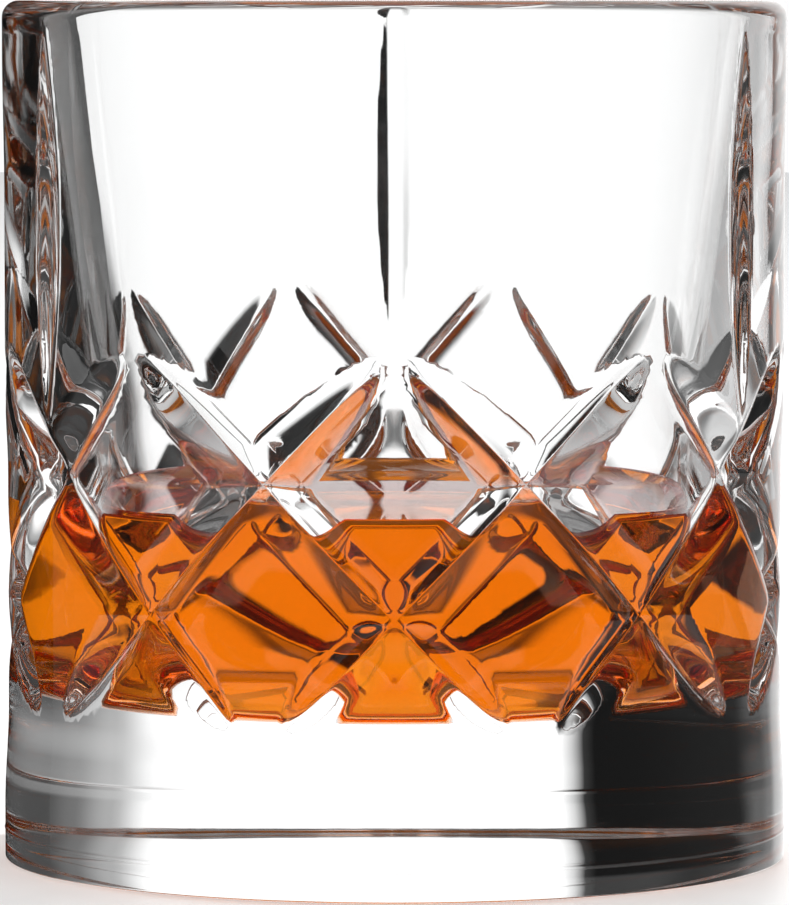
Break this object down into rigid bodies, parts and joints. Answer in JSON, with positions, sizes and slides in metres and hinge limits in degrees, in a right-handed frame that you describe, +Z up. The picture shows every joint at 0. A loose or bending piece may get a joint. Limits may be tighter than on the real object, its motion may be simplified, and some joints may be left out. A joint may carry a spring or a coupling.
{
  "type": "whiskey tumbler",
  "caption": "Straight-sided whiskey tumbler in clear pressed glass with a heavy base, a diamond lattice of V-grooves and upright mitre cuts, part filled with amber whiskey.",
  "frame": {"origin": "centre of the underside, on the plane that the foot ring rests on", "axes": "+Z up along the glass's axis; -Y towards the front, where a lower crossing of the lattice faces; +X to the right as seen from the front"},
  "size_m": [0.085, 0.085, 0.0931],
  "materials": {
    "clear_glass": "clear fire-polished pressed glass, smooth and glossy inside and out",
    "whiskey": "clear amber spirit, deep orange to brown with depth, mirror-flat surface"
  },
  "bodies": {
    "root": {"tumbler_glass": "clear_glass", "whiskey": "whiskey"}
  },
  "joints": []
}
